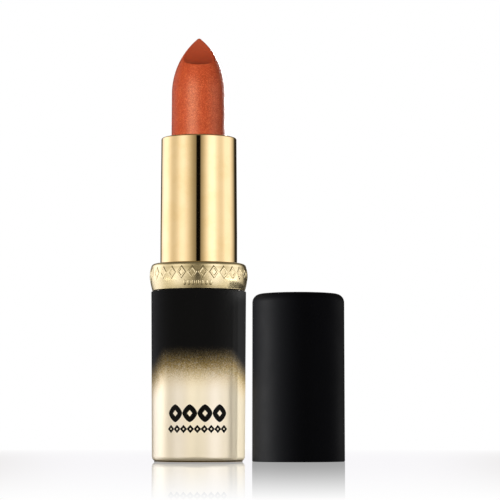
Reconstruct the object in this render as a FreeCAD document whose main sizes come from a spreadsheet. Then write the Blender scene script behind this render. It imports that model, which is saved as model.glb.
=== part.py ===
"""Lipstick case, opened and wound up, with its cap standing beside it.

A twist mechanism lifts the stick: the cup that holds the stick has two lugs.  Each lug passes
through a straight slot in the guide tube, which is fixed in the base, into a helical groove in the
spiral sleeve, which is fixed in the outer tube.  Turning the outer tube and collar against the base
drives the cup up or down.

Frame: origin at the centre of the case's foot, +Z up along the case, the stick's facet towards -Y,
the cap standing at +X.  Lengths are in millimetres, angles in degrees.
"""
import FreeCAD, Part
import math
import os

import Sketcher
from FreeCAD import Placement, Rotation, Vector

# name, value, what it is
DRIVING_SIZES = [
    # clearances
    ("fit_gap", 0.02, "pieces that are pressed or glued together"),
    ("run_gap", 0.06, "radial gap between pieces that turn or slide in each other"),
    ("slide_gap", 0.05, "radial gap between the cap's grip land and the outer tube"),
    ("edge_break", 0.12, "small rounding on outside edges"),
    # stick, cup and their travel
    ("stick_radius", 6.05, "stick where it leaves the cup"),
    ("stick_draft", 0.13, "how much slimmer the stick is where its point starts"),
    ("point_length", 12.2, "pointed end of the stick"),
    ("tip_radius", 0.45, "stick where its rounded tip starts"),
    ("tip_height", 0.22, "rounded tip"),
    ("facet_radius", 6.79, "hollow facet at the front of the point"),
    ("facet_depth", 7.19, "stick's axis to the facet's centre line"),
    ("facet_drop", 0.08, "tip of the stick down to the facet's centre line"),
    ("tip_hide", 1.6, "tip of the stick below the tube's mouth when wound down"),
    ("travel_down", 23.5, "travel of the cup from the pose shown down to its stop"),
    ("travel_up", 1.5, "travel of the cup from the pose shown up to its stop"),
    ("lead", 20.0, "travel of the cup for one turn"),
    ("cup_wall", 0.39, "wall of the cup"),
    ("cup_floor", 0.8, "floor of the cup"),
    ("cup_rise", 2.4, "lug's centre up to the cup's rim"),
    ("cup_drop", 10.6, "lug's centre down to the cup's underside"),
    ("cup_vent", 1.3, "radius of the vent hole in the cup's floor"),
    ("rib_depth", 0.25, "ribs in the cup that key the stick"),
    ("rib_width", 0.5, "ribs in the cup that key the stick"),
    ("rib_length", 7.5, "ribs in the cup that key the stick"),
    ("rib_count", 6, "ribs in the cup that key the stick"),
    ("lug_radius", 0.9, "lugs of the cup"),
    ("lug_gap", 0.1, "gap around a lug in its slot and in its groove"),
    ("lug_end_gap", 0.11, "lug's end to the bottom of its groove"),
    # guide tube
    ("guide_wall", 0.5, "wall of the guide tube"),
    ("flange_height", 1.15, "flange of the guide tube"),
    ("flange_rise", 0.1, "base's top edge up to the flange's top"),
    ("skirt_length", 11.3, "guide tube below its flange"),
    ("grip_width", 0.9, "grip ribs below the flange"),
    ("grip_count", 12, "grip ribs below the flange"),
    ("bead_height", 0.15, "snap bead on the guide tube"),
    ("bead_width", 0.7, "snap bead on the guide tube"),
    ("bead_offset", 0.6, "sleeve's foot up to the snap bead"),
    ("ring_thickness", 0.76, "section of the drag ring"),
    ("ring_gap", 0.05, "drag ring to the spiral sleeve's foot"),
    # spiral sleeve and outer tube
    ("sleeve_wall", 0.58, "wall of the spiral sleeve at its top"),
    ("groove_depth", 0.4, "helical grooves"),
    ("groove_end", 12.0, "angle that a groove runs on past the cup's stop"),
    ("sleeve_foot", 3.72, "sleeve's foot up to the lug at its lower stop"),
    ("sleeve_head", 1.38, "lug at its upper stop up to the sleeve's top"),
    ("guide_head_gap", 0.08, "guide tube's top below the sleeve's top"),
    ("tube_wall", 0.42, "wall of the outer tube"),
    ("tube_lip", 0.4, "turned-in lip at the tube's mouth"),
    ("tube_draft", 0.2, "how much slimmer the tube is at its mouth"),
    ("tube_corner", 0.35, "rounding at the tube's mouth"),
    ("tube_foot", 0.65, "width of the tube's foot flange"),
    ("tube_foot_height", 0.4, "height of the tube's foot flange"),
    ("tube_foot_rise", 0.15, "collar's underside up to the tube's foot"),
    ("tube_land", 0.25, "how much wider the tube is inside the collar"),
    ("seat_length", 6.0, "straight part of the tube that the cap grips"),
    # base
    ("base_height", 36.35, "foot to the base's top edge"),
    ("base_step", 1.92, "outer tube's side out to the base's top edge"),
    ("base_draft", 0.25, "how much slimmer the base is at its foot"),
    ("base_wall", 0.8, "wall of the base shell"),
    ("base_floor", 1.3, "floor of the base shell"),
    ("base_corner", 1.1, "rounding around the foot"),
    ("liner_wall", 0.95, "base liner at its top"),
    ("liner_shelf", 0.5, "how far the liner's lower bore is narrower"),
    ("weight_height", 6.0, "steel weight in the base"),
    ("weight_hole", 2.0, "radius of the hole through the weight"),
    ("label_radius", 7.6, "round label under the foot"),
    ("label_thickness", 0.15, "label, flush with the foot"),
    ("label_gap", 0.12, "edge of the label to the edge of its recess"),
    # collar
    ("collar_gap", 0.2, "base's top edge to the collar's underside"),
    ("collar_height", 5.75, "collar"),
    ("collar_bulge", 0.49, "how far the collar's side bows out"),
    ("collar_shoulder", 0.8, "rounding of the collar's top edge"),
    ("collar_wall", 0.75, "wall of the collar at its foot"),
    ("collar_web", 0.8, "top of the collar"),
    ("core_rise", 0.1, "collar's underside up to the moulded ring inside it"),
    # cap
    ("cap_wall", 0.6, "wall of the cap shell"),
    ("cap_top", 0.6, "top of the cap shell"),
    ("cap_corner", 1.85, "rounding around the cap's top"),
    ("cap_draft", 0.05, "how much slimmer the cap is at its top"),
    ("land_wall", 0.98, "cap liner at its grip land"),
    ("land_relief", 0.27, "how much wider the liner is above its grip land"),
    ("cap_recess", 0.25, "cap's mouth up to the liner's edge"),
    ("cap_lead_in", 0.35, "chamfer at the liner's mouth"),
    ("cap_room", 4.93, "room over the outer tube in the closed cap"),
    ("liner_top", 1.0, "top of the cap liner"),
    ("cap_weight_height", 2.0, "steel disc in the cap's top"),
    ("cap_gap", 0.95, "collar's side to the cap that stands beside it"),
]

SHEET = "Sizes"
FULL_TURN = 360.0


class Size:
    """A length, angle or count that carries its number and the sheet formula that it comes from."""

    def __init__(self, value, formula):
        self.value = float(value)
        self.formula = formula

    def __add__(self, other):
        other = as_size(other)
        return Size(self.value + other.value, f"({self.formula} + {other.formula})")

    def __sub__(self, other):
        other = as_size(other)
        return Size(self.value - other.value, f"({self.formula} - {other.formula})")

    def __mul__(self, other):
        other = as_size(other)
        return Size(self.value * other.value, f"({self.formula} * {other.formula})")

    def __truediv__(self, other):
        other = as_size(other)
        return Size(self.value / other.value, f"({self.formula} / {other.formula})")

    __radd__ = __add__
    __rmul__ = __mul__

    def root(self):
        return Size(math.sqrt(self.value), f"sqrt({self.formula})")


def as_size(number):
    return number if isinstance(number, Size) else Size(number, repr(float(number)))


ZERO = as_size(0)


class Plan:
    """The driving sizes, and every radius and height that follows from them."""

    def __init__(self, sheet_name, rows):
        for name, value, _ in rows:
            setattr(self, name, Size(value, f"{sheet_name}.{name}"))
        self.radii()
        self.heights()
        self.cap_sizes()

    def radii(self):
        """Radii of the case, from the stick outwards."""
        self.cup_outer = self.stick_radius + self.cup_wall
        self.guide_inner = self.cup_outer + self.run_gap
        self.guide_outer = self.guide_inner + self.guide_wall
        self.sleeve_inner = self.guide_outer + self.run_gap
        self.groove_bottom = self.sleeve_inner + self.groove_depth
        self.lug_reach = self.groove_bottom - self.lug_end_gap
        self.sleeve_top_outer = self.sleeve_inner + self.sleeve_wall
        self.tube_top_inner = self.sleeve_top_outer + self.fit_gap
        self.tube_top_radius = self.tube_top_inner + self.tube_wall
        self.tube_radius = self.tube_top_radius + self.tube_draft
        self.tube_inner = self.tube_radius - self.tube_wall
        self.sleeve_outer = self.tube_inner - self.fit_gap
        self.mouth_radius = self.cup_outer + self.run_gap * 2
        self.tube_land_radius = self.tube_radius + self.tube_land
        self.tube_foot_radius = self.tube_radius + self.tube_foot
        self.base_top_radius = self.tube_radius + self.base_step
        self.base_foot_radius = self.base_top_radius - self.base_draft
        self.liner_bore = self.base_top_radius - self.base_wall - self.fit_gap - self.liner_wall
        self.shelf_bore = self.liner_bore - self.liner_shelf
        self.flange_radius = self.base_top_radius - self.base_wall - self.run_gap

    def heights(self):
        """Heights of the case, from the foot upwards."""
        self.flange_top = self.base_height + self.flange_rise
        self.flange_foot = self.flange_top - self.flange_height
        self.guide_foot = self.flange_foot - self.skirt_length
        self.ring_centre = self.flange_top + self.fit_gap + self.ring_thickness / 2
        self.sleeve_z = self.ring_centre + self.ring_thickness / 2 + self.ring_gap
        self.bead_z = self.sleeve_z + self.bead_offset
        self.lug_low = self.sleeve_z + self.sleeve_foot + self.lug_radius
        self.lug_z = self.lug_low + self.travel_down
        self.lug_high = self.lug_z + self.travel_up
        self.sleeve_top = self.lug_high + self.lug_radius + self.sleeve_head
        self.guide_top = self.sleeve_top - self.guide_head_gap
        self.lip_z = self.sleeve_top + self.fit_gap
        self.tube_top = self.lip_z + self.tube_lip
        self.collar_z = self.base_height + self.collar_gap
        self.seat_z = self.collar_z + self.collar_height
        self.tube_z = self.collar_z + self.tube_foot_rise
        self.tube_foot_top = self.tube_z + self.tube_foot_height
        self.web_z = self.seat_z - self.collar_web
        self.draft_z = self.seat_z + self.seat_length
        self.cup_z = self.lug_z - self.cup_drop
        self.cup_top = self.lug_z + self.cup_rise
        self.stick_z = self.cup_z + self.cup_floor
        self.tip_z = self.tube_top - self.tip_hide + self.travel_down

    def cap_sizes(self):
        """Sizes of the cap, which grips the outer tube and seats on the collar."""
        self.land_bore = self.tube_radius + self.slide_gap
        self.cap_liner_radius = self.land_bore + self.land_wall
        self.cap_inner = self.cap_liner_radius + self.fit_gap
        self.cap_radius = self.cap_inner + self.cap_wall
        self.relief_bore = self.land_bore + self.land_relief
        self.liner_roof = self.tube_top - self.seat_z + self.cap_room
        self.cap_liner_top = self.liner_roof + self.liner_top
        self.cap_weight_z = self.cap_liner_top + self.fit_gap
        self.cap_roof = self.cap_weight_z + self.cap_weight_height + self.fit_gap
        self.cap_height = self.cap_roof + self.cap_top
        self.collar_top_radius = self.cap_radius - self.fit_gap
        self.collar_side = (self.base_top_radius + self.collar_top_radius) / 2 + self.collar_bulge
        self.cap_x = self.collar_side + self.cap_gap + self.cap_radius


document = FreeCAD.newDocument("lipstick_case")
sheet = document.addObject("Spreadsheet::Sheet", SHEET)
for row, (alias, number, meaning) in enumerate(DRIVING_SIZES, start=1):
    sheet.set(f"A{row}", str(number))
    sheet.setAlias(f"A{row}", alias)
    sheet.set(f"B{row}", meaning)
document.recompute()
plan = Plan(SHEET, DRIVING_SIZES)


# ---------------------------------------------------------------- sketches and features

def new_body(label):
    """An empty body with a name of its own."""
    body = document.addObject("PartDesign::Body", label)
    body.Label = label
    return body


def new_sketch(body, name, plane, height=ZERO):
    """A sketch on one of the body's own origin planes, raised by height along the plane's normal."""
    sketch = body.newObject("Sketcher::SketchObject", f"{body.Label}_{name}")
    origin_plane = next(f for f in body.Origin.OriginFeatures if f.Role == plane)
    sketch.AttachmentSupport = [(origin_plane, "")]
    sketch.MapMode = "FlatFace"
    if height is not ZERO:
        sketch.AttachmentOffset = Placement(Vector(0, 0, height.value), Rotation())
        sketch.setExpression("AttachmentOffset.Base.z", height.formula)
    return sketch


def pin_point(sketch, edge, end, x, y):
    """Ties one end of an edge to the sizes x and y, measured from the sketch's origin."""
    for direction, size, axis in (("X", x, -2), ("Y", y, -1)):
        if size is ZERO:
            sketch.addConstraint(Sketcher.Constraint("PointOnObject", edge, end, axis))
        else:
            rule = Sketcher.Constraint(f"Distance{direction}", -1, 1, edge, end, size.value)
            index = sketch.addConstraint(rule)
            sketch.setExpression(f"Constraints[{index}]", size.formula)


def arc_edge(start, end, radius, side):
    """An arc from start to end; side is 1 for a centre to the left of the way from start to end."""
    chord = end - start
    half = chord.Length / 2
    across = Vector(-chord.y, chord.x, 0).normalize() * side
    centre = (start + end) / 2 + across * math.sqrt(radius ** 2 - half ** 2)
    circle = Part.Circle(centre, Vector(0, 0, 1), radius)
    angles = [math.atan2(p.y - centre.y, p.x - centre.x) for p in (start, end)]
    first, last = angles if side > 0 else reversed(angles)
    return Part.ArcOfCircle(circle, first, last)


def outline(sketch, corners, arcs=None):
    """A closed outline through corners, each a pair of sizes.  arcs gives, for the edge that leaves
    a corner, its radius and the side of its centre: {corner number: (radius, side)}."""
    arcs = arcs or {}
    points = [Vector(x.value, y.value, 0) for x, y in corners]
    count = len(points)
    ends = []
    for i, start in enumerate(points):
        finish = points[(i + 1) % count]
        if i in arcs:
            radius, side = arcs[i]
            edge = sketch.addGeometry(arc_edge(start, finish, radius.value, side))
            index = sketch.addConstraint(Sketcher.Constraint("Radius", edge, radius.value))
            sketch.setExpression(f"Constraints[{index}]", radius.formula)
            ends.append((edge, 1, 2) if side > 0 else (edge, 2, 1))
        else:
            ends.append((sketch.addGeometry(Part.LineSegment(start, finish)), 1, 2))
    for i, (edge, first, last) in enumerate(ends):
        following, its_first, _ = ends[(i + 1) % count]
        sketch.addConstraint(Sketcher.Constraint("Coincident", edge, last, following, its_first))
        pin_point(sketch, edge, first, *corners[i])


def circle(sketch, x, y, radius):
    """A circle about the point x, y."""
    edge = sketch.addGeometry(Part.Circle(Vector(x.value, y.value, 0), Vector(0, 0, 1), radius.value))
    index = sketch.addConstraint(Sketcher.Constraint("Radius", edge, radius.value))
    sketch.setExpression(f"Constraints[{index}]", radius.formula)
    pin_point(sketch, edge, 3, x, y)


def revolve(body, name, corners, arcs=None, cut=False):
    """Turns an outline in the XZ plane, given as radius and height, a full turn about Z."""
    sketch = new_sketch(body, f"{name}_outline", "XZ_Plane")
    outline(sketch, corners, arcs)
    kind = "PartDesign::Groove" if cut else "PartDesign::Revolution"
    feature = body.newObject(kind, f"{body.Label}_{name}")
    feature.Profile = sketch
    feature.ReferenceAxis = (sketch, ["V_Axis"])
    feature.Angle = FULL_TURN
    return feature


def extrude(body, name, sketch, length, cut=False, both_ways=False):
    """Pads a sketch along its normal, or cuts with it when cut is set."""
    feature = body.newObject("PartDesign::Pocket" if cut else "PartDesign::Pad", f"{body.Label}_{name}")
    feature.Profile = sketch
    feature.Length = length.value
    feature.setExpression("Length", length.formula)
    if both_ways:
        feature.SideType = "Symmetric"
    elif cut:
        feature.Reversed = True
    return feature


def repeat(body, name, feature, count):
    """Repeats a feature evenly around Z."""
    pattern = body.newObject("PartDesign::PolarPattern", f"{body.Label}_{name}")
    pattern.Originals = [feature]
    pattern.Axis = (feature.Profile[0], ["V_Axis" if on_upright_plane(feature) else "N_Axis"])
    pattern.Angle = FULL_TURN
    pattern.Occurrences = int(count.value)
    pattern.setExpression("Occurrences", count.formula)
    body.Tip = pattern
    return pattern


def on_upright_plane(feature):
    support = feature.Profile[0].AttachmentSupport[0][0]
    return support.Role != "XY_Plane"


def rim_edges(feature, radius, height):
    """Names of the circular edges of that radius and height about Z."""
    names = []
    for number, edge in enumerate(feature.Shape.Edges, start=1):
        curve = edge.Curve
        if isinstance(curve, Part.Circle):
            same = abs(curve.Radius - radius.value) < 1e-4 and abs(curve.Center.z - height.value) < 1e-4
            if same and math.hypot(curve.Center.x, curve.Center.y) < 1e-4:
                names.append(f"Edge{number}")
    return names


def round_rims(body, name, feature, rims, size, chamfer=False):
    """Rounds, or chamfers, the circular edges given as radius and height."""
    document.recompute()
    names = [n for radius, height in rims for n in rim_edges(feature, radius, height)]
    if len(names) < len(rims):
        raise ValueError(f"{body.Label}: an edge to round is missing")
    kind = "PartDesign::Chamfer" if chamfer else "PartDesign::Fillet"
    rounding = body.newObject(kind, f"{body.Label}_{name}")
    rounding.Base = (feature, names)
    quantity = "Size" if chamfer else "Radius"
    setattr(rounding, quantity, size.value)
    rounding.setExpression(quantity, size.formula)
    return rounding


def stand_beside(body):
    """Moves a piece of the cap to where the cap stands."""
    body.setExpression("Placement.Base.x", plan.cap_x.formula)


# ---------------------------------------------------------------- base

def make_base_shell(p):
    """Lacquered outer shell of the base: a cup with a shallow recess under its foot for the label."""
    body = new_body("base_shell")
    top_inner = p.base_top_radius - p.base_wall
    foot_inner = p.base_foot_radius - p.base_wall
    recess = p.label_thickness + p.fit_gap
    rim = p.label_radius + p.label_gap
    shell = revolve(body, "shell", [
        (ZERO, recess), (rim, recess), (rim, ZERO),
        (p.base_foot_radius, ZERO), (p.base_top_radius, p.base_height), (top_inner, p.base_height),
        (foot_inner, p.base_floor), (ZERO, p.base_floor)])
    foot = round_rims(body, "foot", shell, [(p.base_foot_radius, ZERO)], p.base_corner)
    round_rims(body, "edge", foot, [(p.base_top_radius, p.base_height)], p.edge_break)
    return body


def make_base_liner(p):
    """Moulded sleeve in the base: its upper bore grips the guide tube, its lower bore the weight."""
    body = new_body("base_liner")
    foot = p.base_floor + p.fit_gap
    outer_foot = p.base_foot_radius - p.base_wall - p.fit_gap
    outer_top = p.base_top_radius - p.base_wall - p.fit_gap
    shelf = p.guide_foot - p.fit_gap
    top = p.flange_foot - p.fit_gap
    revolve(body, "sleeve", [
        (p.shelf_bore, foot), (outer_foot, foot), (outer_top - p.fit_gap, top), (p.liner_bore, top),
        (p.liner_bore, shelf), (p.shelf_bore, shelf)])
    return body


def make_base_weight(p):
    """Steel slug that gives the base its heavy feel and lowers the centre of mass."""
    body = new_body("base_weight")
    foot = p.base_floor + p.fit_gap
    radius = p.shelf_bore - p.fit_gap
    slug = revolve(body, "slug", [
        (p.weight_hole, foot), (radius, foot), (radius, foot + p.weight_height),
        (p.weight_hole, foot + p.weight_height)])
    round_rims(body, "edges", slug, [(radius, foot), (radius, foot + p.weight_height)],
               p.edge_break * 3, chamfer=True)
    return body


def make_shade_label(p):
    """Round printed label, let into the foot's recess and flush with the foot."""
    body = new_body("shade_label")
    revolve(body, "disc", [
        (ZERO, ZERO), (p.label_radius, ZERO), (p.label_radius, p.label_thickness),
        (ZERO, p.label_thickness)])
    return body


def make_guide_tube(p):
    """Slotted tube fixed in the base: its slots keep the cup from turning, its flange closes the base."""
    body = new_body("guide_tube")
    bead_top = p.bead_z + p.bead_width
    bead_radius = p.guide_outer + p.bead_height
    revolve(body, "tube", [
        (p.guide_inner, p.guide_foot), (p.guide_outer, p.guide_foot), (p.guide_outer, p.flange_foot),
        (p.flange_radius, p.flange_foot), (p.flange_radius, p.flange_top),
        (p.guide_outer, p.flange_top), (p.guide_outer, p.bead_z),
        (bead_radius, p.bead_z + p.bead_width / 2), (p.guide_outer, bead_top),
        (p.guide_outer, p.guide_top), (p.guide_inner, p.guide_top)])
    slots = new_sketch(body, "slot_outline", "YZ_Plane")
    side = p.lug_radius + p.lug_gap
    low = p.lug_low - side
    high = p.lug_high + side
    left = ZERO - side
    outline(slots, [(left, low), (side, low), (side, high), (left, high)])
    extrude(body, "slots", slots, p.guide_outer * 3, cut=True, both_ways=True)
    grip = new_sketch(body, "grip_outline", "XY_Plane", p.guide_foot + p.guide_wall)
    root = p.guide_outer - p.guide_wall / 2
    crest = p.liner_bore - p.fit_gap
    half = p.grip_width / 2
    outline(grip, [(root, ZERO - half), (crest, ZERO - half), (crest, half), (root, half)])
    rib = extrude(body, "grip", grip, p.skirt_length - p.guide_wall)
    repeat(body, "grips", rib, p.grip_count)
    return body


def make_drag_ring(p):
    """Silicone ring between the guide tube's flange and the spiral sleeve: it gives the twist its drag."""
    ring = document.addObject("Part::Torus", "drag_ring")
    ring.Label = "drag_ring"
    middle = p.guide_outer + p.fit_gap + p.ring_thickness / 2
    for name, size in (("Radius1", middle), ("Radius2", p.ring_thickness / 2)):
        setattr(ring, name, size.value)
        ring.setExpression(name, size.formula)
    ring.setExpression("Placement.Base.z", p.ring_centre.formula)
    return ring


# ---------------------------------------------------------------- outer tube, collar and spiral

def make_outer_tube(p):
    """Polished tube: a foot flange and a wider land inside the collar, a straight seat for the cap,
    then a slight draft up to a lip that is turned in over the spiral sleeve."""
    body = new_body("outer_tube")
    tube = revolve(body, "tube", [
        (p.tube_inner, p.tube_z), (p.tube_foot_radius, p.tube_z), (p.tube_foot_radius, p.tube_foot_top),
        (p.tube_land_radius, p.tube_foot_top), (p.tube_land_radius, p.seat_z),
        (p.tube_radius, p.seat_z), (p.tube_radius, p.draft_z), (p.tube_top_radius, p.tube_top),
        (p.mouth_radius, p.tube_top), (p.mouth_radius, p.lip_z), (p.tube_top_inner, p.lip_z),
        (p.tube_inner, p.draft_z)])
    round_rims(body, "mouth", tube, [(p.tube_top_radius, p.tube_top)], p.tube_corner)
    return body


def make_collar(p):
    """Turned ring around the outer tube's foot: its side bows outwards, and the cap seats on its top."""
    body = new_body("collar")
    bore = p.tube_land_radius + p.fit_gap
    inside = p.base_top_radius - p.collar_wall
    chord_step = p.base_top_radius - p.collar_top_radius
    bow = (p.collar_height * p.collar_height + chord_step * chord_step) / (p.collar_bulge * 8) \
        + p.collar_bulge / 2
    ring = revolve(body, "ring", [
        (inside, p.collar_z), (p.base_top_radius, p.collar_z), (p.collar_top_radius, p.seat_z),
        (bore, p.seat_z), (bore, p.web_z), (inside, p.web_z)], arcs={1: (bow, 1)})
    shoulder = round_rims(body, "shoulder", ring, [(p.collar_top_radius, p.seat_z)], p.collar_shoulder)
    round_rims(body, "edge", shoulder, [(p.base_top_radius, p.collar_z)], p.edge_break)
    return body


def make_collar_core(p):
    """Moulded ring that fills the collar and holds it on the outer tube's land and foot flange."""
    body = new_body("collar_core")
    foot = p.collar_z + p.core_rise
    bore = p.tube_land_radius + p.fit_gap
    counterbore = p.tube_foot_radius + p.fit_gap
    outside = p.base_top_radius - p.collar_wall - p.fit_gap
    shelf = p.tube_foot_top + p.fit_gap
    top = p.web_z - p.fit_gap
    revolve(body, "ring", [
        (counterbore, foot), (outside, foot), (outside, top), (bore, top), (bore, shelf),
        (counterbore, shelf)])
    return body


def make_spiral_sleeve(p):
    """Sleeve fixed in the outer tube, with two helical grooves on its inside for the cup's lugs.
    The grooves start in the body's XZ plane, and the body is turned so that they meet the lugs."""
    body = new_body("spiral_sleeve")
    bead_groove = p.guide_outer + p.bead_height + p.run_gap
    bead_low = p.bead_z - p.bead_height
    bead_high = p.bead_z + p.bead_width + p.bead_height
    revolve(body, "sleeve", [
        (p.sleeve_inner, p.sleeve_z), (p.sleeve_outer, p.sleeve_z), (p.sleeve_outer, p.draft_z),
        (p.sleeve_top_outer, p.sleeve_top), (p.sleeve_inner, p.sleeve_top),
        (p.sleeve_inner, bead_high), (bead_groove, bead_high - p.bead_height),
        (bead_groove, bead_low + p.bead_height), (p.sleeve_inner, bead_low)])

    end_rise = p.groove_end * p.lead / FULL_TURN
    start = p.lug_low - end_rise
    slope = p.lead / (p.sleeve_inner * (2 * math.pi))
    widening = (slope * slope + 1).root()
    half_width = (p.lug_radius + p.lug_gap) * widening
    inside = p.sleeve_inner - p.guide_wall
    section = new_sketch(body, "groove_section", "XZ_Plane")
    outline(section, [
        (inside, start - half_width), (p.groove_bottom, start - half_width),
        (p.groove_bottom, start + half_width), (inside, start + half_width)])
    groove = body.newObject("PartDesign::SubtractiveHelix", "spiral_sleeve_groove")
    groove.Profile = section
    groove.ReferenceAxis = (section, ["V_Axis"])
    groove.Mode = "pitch-height-angle"
    rise = p.travel_down + p.travel_up + end_rise * 2
    for name, size in (("Pitch", p.lead), ("Height", rise)):
        setattr(groove, name, size.value)
        groove.setExpression(name, size.formula)
    repeat(body, "grooves", groove, as_size(2))

    turned = p.travel_down / p.lead * FULL_TURN + p.groove_end
    body.Placement = Placement(Vector(), Rotation(Vector(0, 0, 1), -turned.value % FULL_TURN))
    back = ZERO - turned
    body.setExpression("Placement.Rotation.Angle", back.formula)
    return body


# ---------------------------------------------------------------- cup and stick

def key_ribs(body, p, name, inner, outer, length, cut):
    """The six small ribs that key the stick in its cup, as material or as a cut."""
    sketch = new_sketch(body, f"{name}_outline", "XY_Plane", p.stick_z)
    half = p.rib_width / 2
    outline(sketch, [(inner, ZERO - half), (outer, ZERO - half), (outer, half), (inner, half)])
    rib = extrude(body, name, sketch, length, cut=cut)
    return repeat(body, f"{name}s", rib, p.rib_count)


def make_lipstick_cup(p):
    """Carrier cup: a thin wall around the foot of the stick, with two lugs that run in the mechanism."""
    body = new_body("lipstick_cup")
    revolve(body, "outside", [
        (p.cup_vent, p.cup_z), (p.cup_outer, p.cup_z), (p.cup_outer, p.cup_top), (p.cup_vent, p.cup_top)])
    lugs = new_sketch(body, "lug_outline", "YZ_Plane")
    circle(lugs, ZERO, p.lug_z, p.lug_radius)
    extrude(body, "lugs", lugs, p.lug_reach * 2, both_ways=True)
    revolve(body, "bore", [
        (ZERO, p.stick_z), (p.stick_radius, p.stick_z), (p.stick_radius, p.cup_top + p.lug_radius),
        (ZERO, p.cup_top + p.lug_radius)], cut=True)
    key_ribs(body, p, "rib", p.stick_radius - p.rib_depth, p.stick_radius + p.cup_wall / 2,
             p.rib_length, cut=False)
    return body


def make_lipstick(p):
    """The stick: a round bar, cast in the cup and drawn to a point, with a hollow facet on its front."""
    body = new_body("lipstick")
    point_z = p.tip_z - p.point_length
    point_radius = p.stick_radius - p.stick_draft
    tip_start = p.tip_z - p.tip_height
    rise = tip_start - point_z
    taper = point_radius - p.tip_radius
    flank = (rise * rise + taper * taper) / (taper * 2)
    crown = (p.tip_radius * p.tip_radius + p.tip_height * p.tip_height) / (p.tip_height * 2)
    foot_radius = p.stick_radius - p.fit_gap
    revolve(body, "bar", [
        (ZERO, p.stick_z), (foot_radius, p.stick_z), (foot_radius, p.cup_top), (p.stick_radius, p.cup_top),
        (point_radius, point_z), (p.tip_radius, tip_start), (ZERO, p.tip_z)],
        arcs={4: (flank, 1), 5: (crown, 1)})
    facet = new_sketch(body, "facet_outline", "YZ_Plane")
    circle(facet, ZERO - p.facet_depth, p.tip_z - p.facet_drop, p.facet_radius)
    extrude(body, "facet", facet, p.stick_radius * 4, cut=True, both_ways=True)
    key_ribs(body, p, "key", p.stick_radius - p.rib_depth - p.fit_gap, p.stick_radius * 1.2,
             p.rib_length + p.fit_gap, cut=True)
    return body


# ---------------------------------------------------------------- cap

def make_cap_shell(p):
    """Outer shell of the cap, drawn in one piece and closed at its top."""
    body = new_body("cap_shell")
    inner_corner = p.cap_corner - p.cap_wall
    shell = revolve(body, "shell", [
        (p.cap_inner, ZERO), (p.cap_radius, ZERO), (p.cap_radius - p.cap_draft, p.cap_height),
        (ZERO, p.cap_height), (ZERO, p.cap_roof), (p.cap_inner, p.cap_roof)])
    top = round_rims(body, "top", shell, [(p.cap_radius - p.cap_draft, p.cap_height)], p.cap_corner)
    inside = round_rims(body, "inside", top, [(p.cap_inner, p.cap_roof)], inner_corner)
    round_rims(body, "mouth", inside, [(p.cap_radius, ZERO)], p.edge_break)
    stand_beside(body)
    return body


def make_cap_liner(p):
    """Moulded liner of the cap: a grip land at the mouth slides on the outer tube's seat."""
    body = new_body("cap_liner")
    land_top = p.cap_recess + p.cap_lead_in + p.seat_length
    slope = p.land_relief + land_top
    relief_corner = p.cap_liner_radius - p.cap_corner
    shoulder = p.cap_liner_top - p.cap_corner
    revolve(body, "liner", [
        (p.land_bore + p.cap_lead_in, p.cap_recess), (p.cap_liner_radius, p.cap_recess),
        (p.cap_liner_radius, shoulder), (relief_corner, p.cap_liner_top), (ZERO, p.cap_liner_top),
        (ZERO, p.liner_roof), (relief_corner, p.liner_roof),
        (p.relief_bore, p.liner_roof - p.liner_top * 2), (p.relief_bore, slope),
        (p.land_bore, land_top), (p.land_bore, p.cap_recess + p.cap_lead_in)])
    stand_beside(body)
    return body


def make_cap_weight(p):
    """Steel disc held between the liner and the shell's top."""
    body = new_body("cap_weight")
    radius = p.cap_inner - p.cap_corner
    top = p.cap_weight_z + p.cap_weight_height
    disc = revolve(body, "disc", [
        (ZERO, p.cap_weight_z), (radius, p.cap_weight_z), (radius, top), (ZERO, top)])
    round_rims(body, "edges", disc, [(radius, p.cap_weight_z), (radius, top)], p.edge_break * 2,
               chamfer=True)
    stand_beside(body)
    return body


# ---------------------------------------------------------------- build, check and write

def check(pieces):
    """Stops if any object of the document failed, or a piece has no single valid solid."""
    failed = [o.Label for o in document.Objects if set(o.State) & {"Invalid", "Error"}]
    if failed:
        raise RuntimeError(f"these objects failed: {failed}")
    for piece in pieces:
        shape = piece.Shape
        if shape.isNull() or not shape.isValid() or len(shape.Solids) != 1:
            raise RuntimeError(f"{piece.Label} isn't one valid solid")


def write(pieces, folder="parts"):
    os.makedirs(folder, exist_ok=True)
    for piece in pieces:
        piece.Shape.exportStep(os.path.join(folder, f"{piece.Label}.step"))
        box = piece.Shape.BoundBox
        print(f"{piece.Label:14s} {piece.Shape.Volume:9.2f} mm3  z {box.ZMin:6.2f} to {box.ZMax:6.2f}"
              f"  x {box.XMin:6.2f} to {box.XMax:6.2f}")


MAKERS = [
    make_base_shell, make_base_liner, make_base_weight, make_shade_label, make_guide_tube,
    make_drag_ring, make_outer_tube, make_collar, make_collar_core, make_spiral_sleeve,
    make_lipstick_cup, make_lipstick, make_cap_shell, make_cap_liner, make_cap_weight,
]

pieces = [make(plan) for make in MAKERS]
document.recompute()
check(pieces)
write(pieces)
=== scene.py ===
# %% [markdown]
# # A lipstick case, open, with its cap beside it
# The sizes and the moving parts come from a CAD model, which is loaded here as a fixed frame. This
# script adds the looks: smooth turned shells, the relief on the collar, the print on the base, the
# stick's wax, and the finish of every piece. Lengths are in metres, with MM for millimetres, +Z is up
# along the case, the cap stands at +X, and the camera looks along +Y.

import math

import bmesh
import bpy
import numpy as np
from mathutils import Matrix, Vector


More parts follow.
